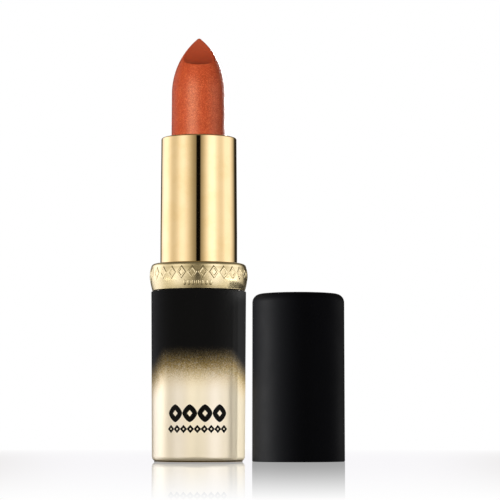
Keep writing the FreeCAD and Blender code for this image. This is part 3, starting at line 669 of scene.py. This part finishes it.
def turn(name, outline, finish, closed=True, centre_x=0.0):
    """A round piece with this outline, a list of (radius, height), about an upright axis."""
    points = [(p.x - WHEEL, -p.y, 0.0) for p in outline]
    edges = [(i, i + 1) for i in range(len(points) - 1)]
    if closed:
        edges.append((len(points) - 1, 0))
    piece = new_piece(name, points, edges)
    run_tree(piece, lathe, name, Steps=LATHE_STEPS, Finish=finish)
    piece.data.transform(Matrix.Translation((centre_x, 0, 0)))
    return piece


def finish_piece(piece, body, slot, *nodes):
    """Ties a piece to its CAD body and hides the CAD nodes that it stands for. slot is not used."""
    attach(piece, body)
    if nodes:
        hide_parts(*nodes)
    return piece


print("lathe ready,", LATHE_STEPS, "steps around")

# %% [markdown]
# ## Sizes read from the frame
# The pieces have to meet the CAD ones, so their radii and heights are read from the CAD solids: a
# turned solid has corner points only at its own corners, so the rings of points say where they are.

# %% Sizes read from the frame
SAME_HEIGHT = 0.004 * MM


def rings(node, height, centre_x=0.0):
    """Radii of the rings of corner points that a CAD node has at this height."""
    co = np.array([v.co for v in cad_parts[node].data.vertices])
    near = co[abs(co[:, 2] - height) < SAME_HEIGHT]
    radii = np.hypot(near[:, 0] - centre_x, near[:, 1])
    return sorted({round(float(r), 6) for r in radii})


def heights(node):
    low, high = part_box(node)
    return low.z, high.z


def across(node):
    """The middle of a round node along X, and its radius."""
    low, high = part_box(node)
    return (low.x + high.x) / 2, (high.x - low.x) / 2


base_foot, base_top = heights("base_shell")
collar_foot, collar_top = heights("collar")
tube_foot, tube_top = heights("outer_tube")
cap_foot, cap_top = heights("cap_shell")
stick_foot, stick_tip = heights("lipstick")
cap_x, cap_radius = across("cap_shell")
base_radius, collar_radius = across("base_shell")[1], across("collar")[1]
print("base", round(base_radius / MM, 3), "collar", round(collar_radius / MM, 3), "cap",
      round(cap_radius / MM, 3), "mm radius; cap at x", round(cap_x / MM, 3))

# %% [markdown]
# ## Base
# A drawn shell: nearly straight, a little slimmer at its foot, with a soft corner around the foot and
# a thin broken edge at its top. The outline goes around the wall, inside and out, so the piece is a
# closed solid with a real thickness.

# %% Base
BASE_WALL = 0.8 * MM
BASE_FLOOR = 1.3 * MM
BASE_CORNER = 1.1 * MM
BASE_DRAFT = 0.25 * MM
EDGE_BREAK = 0.12 * MM
LABEL_RECESS = 0.17 * MM
recess_radius = rings("base_shell", LABEL_RECESS)[-1]

foot_radius = base_radius - BASE_DRAFT
base_outline = rounded_outline([
    (0.0, LABEL_RECESS, 0.0), (recess_radius, LABEL_RECESS, 0.0), (recess_radius, base_foot, 0.0),
    (foot_radius, base_foot, BASE_CORNER), (base_radius, base_top, EDGE_BREAK),
    (base_radius - BASE_WALL, base_top, 0.0), (foot_radius - BASE_WALL, BASE_FLOOR, 0.0),
    (0.0, BASE_FLOOR, 0.0)], closed=False)
base = turn("base_lacquered", base_outline, champagne_fade(base_radius), closed=False)
finish_piece(base, "base", "fade_lacquer", "base_shell")

# %% [markdown]
# ## Tube
# The tube is the mirror in the middle of the case. Its foot flange and wider land are hidden in the
# collar, its side has a slight draft above the cap's seat, and its mouth is rolled in.

# %% Tube
TUBE_CORNER = 0.35 * MM
TUBE_FLANGE = 0.4 * MM
TUBE_LIP = 0.4 * MM
LIP_CORNER = 0.1 * MM
SEAT_LENGTH = 6.0 * MM
flange_inner, flange_radius = rings("outer_tube", tube_foot)
land_radius = rings("outer_tube", tube_foot + TUBE_FLANGE)[0]
seat_radius = rings("outer_tube", collar_top)[0]
mouth_radius = rings("outer_tube", tube_top)[0]
top_inner = rings("outer_tube", tube_top - TUBE_LIP)[-1]
top_radius = rings("outer_tube", tube_top)[-1] + TUBE_CORNER

tube_outline = rounded_outline([
    (flange_inner, tube_foot, 0.0), (flange_radius, tube_foot, 0.0),
    (flange_radius, tube_foot + TUBE_FLANGE, 0.0), (land_radius, tube_foot + TUBE_FLANGE, 0.0),
    (land_radius, collar_top, 0.0), (seat_radius, collar_top, 0.0),
    (seat_radius, collar_top + SEAT_LENGTH, 0.0), (top_radius, tube_top, TUBE_CORNER),
    (mouth_radius, tube_top, LIP_CORNER), (mouth_radius, tube_top - TUBE_LIP, 0.0),
    (top_inner, tube_top - TUBE_LIP, 0.0), (flange_inner, collar_top + SEAT_LENGTH, 0.0)])
tube_finish = polished_gold("polished_gold", 0.045, 0.03, 0.0004 * MM)
tube = turn("tube_polished", tube_outline, tube_finish)
finish_piece(tube, "upper_case", "polished_gold", "outer_tube")

# %% [markdown]
# ## Collar
# The ring at the tube's foot bows outwards and is satin where the tube is polished: it is tumbled
# before it is anodised. Its face is turned a tenth of a millimetre below its rims, so that the relief
# on it stands no prouder than the ring itself.

# %% Collar
COLLAR_BULGE = 0.49 * MM
COLLAR_SHOULDER = 0.8 * MM
SHOULDER_START = 0.88 * MM
RELIEF = 0.10 * MM
BOW_STEPS = 28
WEB_FOOT = 41.5 * MM
WEB_GAP = 0.3 * MM


def bow(start, end, bulge, steps):
    """Points strictly between two ends on an arc that bulges outwards by this much."""
    start, end = Vector(start), Vector(end)
    half = (end - start).length / 2
    radius = (half * half + bulge * bulge) / (2 * bulge)
    across = (end - start).normalized()
    outwards = Vector((across.y, -across.x))
    if outwards.x < 0:
        outwards = -outwards
    centre = (start + end) / 2 - outwards * (radius - bulge)
    spread = math.asin(half / radius)
    angles = [spread * (2 * i / steps - 1) for i in range(1, steps)]
    return [centre + outwards * radius * math.cos(a) + across * radius * math.sin(a) for a in angles]


collar_inner = rings("collar", collar_foot)[0]
collar_edge = base_radius
collar_seat = rings("collar", collar_top)[-1] + COLLAR_SHOULDER
face = bow((collar_edge, collar_foot), (collar_seat, collar_top), COLLAR_BULGE, BOW_STEPS)
recess = max(p.x for p in face) - collar_radius + RELIEF
face = [(p.x - recess, p.y, None) for p in face if p.y < collar_top - SHOULDER_START]
collar_outline = rounded_outline(
    [(collar_inner, collar_foot, 0.0), (collar_edge - RELIEF / 2, collar_foot, EDGE_BREAK)] + face
    + [(collar_seat - RELIEF / 2, collar_top, COLLAR_SHOULDER), (seat_radius + WEB_GAP, collar_top, 0.0),
       (seat_radius + WEB_GAP, WEB_FOOT, 0.0), (collar_inner, WEB_FOOT, 0.0)])
collar_finish = polished_gold("satin_gold", 0.20, 0.05, 0.0008 * MM, 0.0015 * MM, SATIN_TONES)
collar_ring = turn("collar_ring", collar_outline, collar_finish)
finish_piece(collar_ring, "upper_case", "polished_gold", "collar")

# %% [markdown]
# ## Cap
# A drawn cup with a generous corner around its top, standing on its mouth.

# %% Cap
CAP_WALL = 0.6 * MM
CAP_CORNER = 1.85 * MM
CAP_DRAFT = 0.05 * MM
CAP_INNER_CORNER = 1.2 * MM

cap_outline = rounded_outline([
    (0.0, cap_top - CAP_WALL, 0.0), (cap_radius - CAP_DRAFT - CAP_WALL, cap_top - CAP_WALL, CAP_INNER_CORNER),
    (cap_radius - CAP_WALL, cap_foot, 0.0), (cap_radius, cap_foot, EDGE_BREAK),
    (cap_radius - CAP_DRAFT, cap_top, CAP_CORNER), (0.0, cap_top, 0.0)], closed=False)
cap = turn("cap_outer", cap_outline, satin_black(), closed=False, centre_x=cap_x)
finish_piece(cap, "cap", "black_lacquer", "cap_shell")

# %% [markdown]
# ## Stick
# The stick is cast upside down in a mould, so its point is a clean shape: an ogive whose flank is one
# arc, a blunt tip, and a hollow facet cut by a cylinder that lies across the front. Its surface is
# found rather than modelled: from the axis outwards, the wax ends where it meets the ogive or the
# facet, whichever comes first. Blending the two softens the facet's edge by a few hundredths of a
# millimetre, as wax does. The rings are spaced evenly along the surface of the point, so the ledge under
# the facet gets as many as the flank, and thinly along the plain shaft.

# %% Stick
POINT_LENGTH = 12.2 * MM
POINT_DRAFT = 0.13 * MM
TIP_RADIUS, TIP_HEIGHT = 0.45 * MM, 0.22 * MM
FACET_RADIUS, FACET_DEPTH, FACET_DROP = 6.79 * MM, 7.19 * MM, 0.08 * MM
FACET_EDGE = 0.10 * MM
STICK_STEPS, STICK_RINGS, STICK_SAMPLES = 216, 250, 6000
SHAFT_SHARE = 0.12

stick_radius = rings("lipstick", stick_foot)[-1]
point_foot = stick_tip - POINT_LENGTH
point_radius = stick_radius - POINT_DRAFT
tip_foot = stick_tip - TIP_HEIGHT
flank = ((tip_foot - point_foot) ** 2 + (point_radius - TIP_RADIUS) ** 2) / (2 * (point_radius - TIP_RADIUS))
crown = (TIP_RADIUS ** 2 + TIP_HEIGHT ** 2) / (2 * TIP_HEIGHT)


def ogive(z):
    """Radius of the stick before the facet is cut, for an array of heights."""
    side = stick_radius - POINT_DRAFT * np.clip((z - stick_foot) / (point_foot - stick_foot), 0, 1)
    nose = point_radius - flank + np.sqrt(np.maximum(flank ** 2 - (z - point_foot) ** 2, 0))
    tip = np.sqrt(np.maximum(crown ** 2 - (z - stick_tip + crown) ** 2, 0))
    return np.where(z < point_foot, side, np.where(z < tip_foot, nose, tip))


def cut_radius(z, bearing):
    """Radius of the stick at a bearing, where -90 degrees is the front."""
    forward = -math.sin(bearing)
    whole = ogive(z)
    if forward <= 1e-6:
        return whole
    depth = FACET_DEPTH - np.sqrt(np.maximum(FACET_RADIUS ** 2 - (z - stick_tip + FACET_DROP) ** 2, 0))
    facet = depth / forward
    near = np.maximum(FACET_EDGE - np.abs(whole - facet), 0) / FACET_EDGE
    return np.minimum(whole, facet) - near ** 2 * FACET_EDGE / 4 * (whole > FACET_EDGE)


def spaced(values, positions):
    """A value at evenly spaced positions along a line whose positions are given."""
    return np.interp(np.linspace(0, positions[-1], STICK_RINGS), positions, values)


def build_stick():
    share = np.linspace(0, 1, STICK_SAMPLES)
    z = stick_foot + (stick_tip - stick_foot) * (1 - (1 - share) ** 2)
    points = [(0.0, 0.0, stick_foot), (0.0, 0.0, stick_tip)]
    for step in range(STICK_STEPS):
        bearing = 2 * math.pi * step / STICK_STEPS
        r = np.maximum(cut_radius(z, bearing), 0)
        weight = np.where(z[1:] < point_foot, SHAFT_SHARE, 1.0)
        along = np.concatenate([[0], np.cumsum(np.hypot(np.diff(r), np.diff(z)) * weight)])
        ring_r, ring_z = spaced(r, along)[:-1], spaced(z, along)[:-1]
        c, s = math.cos(bearing), math.sin(bearing)
        points += [(a * c, a * s, b) for a, b in zip(ring_r.tolist(), ring_z.tolist())]
    faces = []
    count = STICK_RINGS - 1
    for step in range(STICK_STEPS):
        here, there = 2 + step * count, 2 + (step + 1) % STICK_STEPS * count
        faces.append((0, there, here))
        faces.append((1, here + count - 1, there + count - 1))
        faces += [(here + i, there + i, there + i + 1, here + i + 1) for i in range(count - 1)]
    return new_piece("stick", points, faces=faces)


stick = build_stick()
plain_mesh(stick, "stick", smooth_below=50.0)
stick.data.materials.append(shimmering_wax(-FACET_DEPTH, stick_tip - FACET_DROP, FACET_RADIUS))
finish_piece(stick, "carrier", "stick_wax", "lipstick")

# %% [markdown]
# ## Ornament
# The relief on the collar and the print on the base are both one flat motif repeated along a row and
# laid on a round surface. A second tree does this: it puts copies of the motif along a line, bends the
# line around the axis, and drops each point onto the surface with a ray. Because the rays find the
# real surface, one tree serves the bowed collar as well as the straight base. A motif is a lozenge
# with a lozenge opening: in the flat, X runs along the row, Y is the height over the surface and Z is
# up.

# %% Motifs
def outline_points(width, height, power, steps):
    """Points on |x|^power + |z|^power = 1, scaled: power 1 is a lozenge, 2 an oval, 3 a soft square."""
    points = []
    for step in range(steps):
        c, s = math.cos(2 * math.pi * step / steps), math.sin(2 * math.pi * step / steps)
        reach = (abs(c) ** power + abs(s) ** power) ** (-1 / power)
        points.append(Vector((width / 2 * c * reach, height / 2 * s * reach)))
    return points


def frame_motif(outer, inner, section, steps=32):
    """A closed ring between two outlines (width, height, power). section lists pairs: how far in from
    the outer outline, from 0 to 1, and the height over the surface."""
    outside, inside = outline_points(*outer, steps), outline_points(*inner, steps)
    points = []
    for a, b in zip(outside, inside):
        for share, rise in section:
            spot = a.lerp(b, share)
            points.append((spot.x, rise, spot.y))
    size = len(section)
    faces = []
    for i in range(steps):
        for j in range(size):
            a, b, k = i * size, (i + 1) % steps * size, (j + 1) % size
            faces.append((a + j, b + j, b + k, a + k))
    return points, faces


def bead(width, height, rise, sunk, steps=16, tiers=4):
    """A low oval dome on a short wall that sinks into the surface."""
    levels = [(1.0, -sunk), (1.0, 0.0)]
    for tier in range(1, tiers):
        angle = math.pi / 2 * tier / tiers
        levels.append((math.cos(angle), rise * math.sin(angle)))
    points = []
    for share, level in levels:
        for step in range(steps):
            angle = 2 * math.pi * step / steps
            points.append((width / 2 * share * math.cos(angle), level, height / 2 * share * math.sin(angle)))
    faces = []
    for tier in range(len(levels) - 1):
        for step in range(steps):
            a, b = tier * steps + step, tier * steps + (step + 1) % steps
            faces.append((a, b, b + steps, a + steps))
    top, bottom = len(points), len(points) + 1
    points += [(0, rise, 0), (0, -sunk, 0)]
    last = (len(levels) - 1) * steps
    for step in range(steps):
        after = (step + 1) % steps
        faces += [(last + step, last + after, top), (after, step, bottom)]
    return points, faces


print("motifs ready")


# %% The row tree, in Geometry Nodes
def build_row_tree():
    tree, nodes, given = new_tree("row_on_surface", "Row", Motif="Geometry", Surface="Object", Count="Int",
                                  Pitch="Float", Height="Float", Radius="Float", Finish="Material")
    gaps = nodes.math("SUBTRACT", given["Count"], 1.0)
    start = nodes.math("MULTIPLY", nodes.math("MULTIPLY", gaps, given["Pitch"]), -0.5)
    first, step = nodes.join(X=start, Z=given["Height"]), nodes.join(X=given["Pitch"])
    line = nodes.add("GeometryNodeMeshLine", {"Count": given["Count"], "Start Location": first,
                                              "Offset": step})
    copies = nodes.add("GeometryNodeInstanceOnPoints", {"Points": line.outputs["Mesh"],
                                                        "Instance": given["Motif"]})
    flat = nodes.add("GeometryNodeRealizeInstances", {"Geometry": copies.outputs["Instances"]})
    x, y, z = nodes.axes(nodes.add("GeometryNodeInputPosition").outputs[0])
    turn_by = nodes.math("DIVIDE", x, given["Radius"])
    sine, cosine = nodes.math("SINE", turn_by), nodes.math("COSINE", turn_by)
    outwards = nodes.join(X=sine, Y=nodes.math("MULTIPLY", cosine, -1.0))
    far = nodes.math("MULTIPLY", given["Radius"], 1.5)
    source = nodes.vector("ADD", nodes.vector("SCALE", outwards, Scale=far), other=nodes.join(Z=z))
    inwards = nodes.vector("SCALE", outwards, Scale=-1.0)
    surface = nodes.add("GeometryNodeObjectInfo", {"Object": given["Surface"]}, transform_space="ORIGINAL")
    ray = nodes.add("GeometryNodeRaycast", {"Target Geometry": surface.outputs["Geometry"],
                                            "Source Position": source, "Ray Direction": inwards,
                                            "Ray Length": far})
    lift = nodes.vector("SCALE", outwards, Scale=y)
    spot = nodes.vector("ADD", ray.outputs["Hit Position"], other=lift)
    laid = nodes.add("GeometryNodeSetPosition", {"Geometry": flat.outputs[0], "Position": spot})
    finished = nodes.add("GeometryNodeSetMaterial", {"Geometry": laid.outputs[0],
                                                     "Material": given["Finish"]})
    nodes.add("NodeGroupOutput", {"Row": finished.outputs[0]})
    return tree


row_tree = build_row_tree()


def lay_row(name, motif, surface, count, pitch, height, radius, finish):
    """A row of motifs on a round surface, centred on the front."""
    points, faces = motif
    piece = new_piece(name, points, faces=faces)
    return run_tree(piece, row_tree, name, Surface=surface, Count=count, Pitch=pitch, Height=height,
                    Radius=radius, Finish=finish)


print("row tree ready")

# %% [markdown]
# ## Relief on the collar
# A band of raised lozenges runs all round the ring, and a short row of beads sits under it at the
# front. On the real part both are struck by the press that forms the ring, so their edges are soft.

# %% Relief on the collar
BAND_COUNT = 28
BAND_HEIGHT = 40.0 * MM
BAND_RADIUS = 10.45 * MM
BAND_PITCH = 2 * math.pi * BAND_RADIUS / BAND_COUNT
BEAD_COUNT = 7
BEAD_ROW_HEIGHT = 37.75 * MM
BEAD_PITCH = 0.95 * MM
SUNK = 0.05 * MM
# A ring's outline is its width, height and power, and a bead is its width, height and rise.
LOZENGE, LOZENGE_HOLE = (2.24 * MM, 2.95 * MM, 1.0), (0.98 * MM, 1.30 * MM, 1.0)
BEAD = (0.74 * MM, 1.15 * MM, 0.09 * MM)
struck = [(0.0, -SUNK), (0.0, 0.0), (0.22, 0.065 * MM), (0.5, 0.097 * MM), (0.78, 0.065 * MM),
          (1.0, 0.0), (1.0, -SUNK)]

relief_finish = polished_gold("relief_gold", 0.10, 0.05, 0.0008 * MM, tones=SATIN_TONES)
lozenge = frame_motif(LOZENGE, LOZENGE_HOLE, struck)
band = lay_row("collar_lozenges", lozenge, collar_ring, BAND_COUNT, BAND_PITCH, BAND_HEIGHT, BAND_RADIUS,
               relief_finish)
finish_piece(band, "upper_case", "polished_gold")
beads = lay_row("collar_beads", bead(*BEAD, SUNK), collar_ring, BEAD_COUNT, BEAD_PITCH, BEAD_ROW_HEIGHT,
                BAND_RADIUS, relief_finish)
finish_piece(beads, "upper_case", "polished_gold")

# %% [markdown]
# ## Print on the base
# The base carries a two-row ornament in black ink: a row of bold rings, nearly touching, and a finer
# row beneath. Screen-printed ink has a thickness of a few hundredths of a millimetre, so it is built as
# thin closed pieces on the lacquer.

# %% Print on the base
INK = 0.02 * MM
PRINT_RADIUS = 10.03 * MM
BOLD_COUNT, BOLD_PITCH, BOLD_HEIGHT = 4, 3.24 * MM, 10.25 * MM
FINE_COUNT, FINE_PITCH, FINE_HEIGHT = 9, 1.48 * MM, 6.95 * MM
BOLD_RING, BOLD_HOLE = (3.20 * MM, 3.75 * MM, 1.45), (1.15 * MM, 1.35 * MM, 1.0)
FINE_RING, FINE_HOLE = (1.62 * MM, 1.76 * MM, 1.0), (0.44 * MM, 0.50 * MM, 1.0)
INK_SINK = 0.03 * MM
printed = [(0.0, -INK_SINK)] + [(share / 4, INK) for share in range(5)] + [(1.0, -INK_SINK)]

ink_finish = black_ink()
bold = frame_motif(BOLD_RING, BOLD_HOLE, printed, steps=64)
bold_row = lay_row("print_bold", bold, base, BOLD_COUNT, BOLD_PITCH, BOLD_HEIGHT, PRINT_RADIUS, ink_finish)
finish_piece(bold_row, "base", "fade_lacquer")
fine = frame_motif(FINE_RING, FINE_HOLE, printed, steps=40)
fine_row = lay_row("print_fine", fine, base, FINE_COUNT, FINE_PITCH, FINE_HEIGHT, PRINT_RADIUS, ink_finish)
finish_piece(fine_row, "base", "fade_lacquer")

# %% [markdown]
# ## Who gets which light
# The lights for single pieces were made before there were pieces, so their receivers join them now.

# %% Who gets which light
for name, lit in (("wax_key", stick), ("wax_fill", stick), ("wax_back", stick),
                  ("cap_left", cap), ("cap_right", cap),
                  ("base_left", base), ("base_right", base), ("base_front", base)):
    receivers[name].objects.link(lit)
for lit in (collar_ring, band, beads):
    receivers["collar_left"].objects.link(lit)
    receivers["collar_right"].objects.link(lit)
print("lights linked")

# %% [markdown]
# ## Pieces kept from the frame
# The pieces inside need no more shape than the CAD gives them, so they keep their meshes and only get
# a finish.

# %% Pieces kept from the frame
black_plastic = moulded_plastic("moulded_black", (0.020, 0.020, 0.021, 1), (0.030, 0.030, 0.031, 1), 0.42)
ivory_plastic = moulded_plastic("moulded_ivory", (0.80, 0.76, 0.66, 1), (0.70, 0.65, 0.54, 1), 0.36)
steel = turned_steel()
KEPT = {
    "base_liner": black_plastic, "guide_tube": black_plastic, "collar_core": black_plastic,
    "cap_liner": black_plastic, "spiral_sleeve": ivory_plastic, "lipstick_cup": ivory_plastic,
    "base_weight": steel, "cap_weight": steel, "drag_ring": silicone(),
    "shade_label": printed_label(across("shade_label")[1]),
}
for name, finish in KEPT.items():
    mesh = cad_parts[name].data
    mesh.materials.clear()
    mesh.materials.append(finish)
print("kept:", ", ".join(sorted(KEPT)))
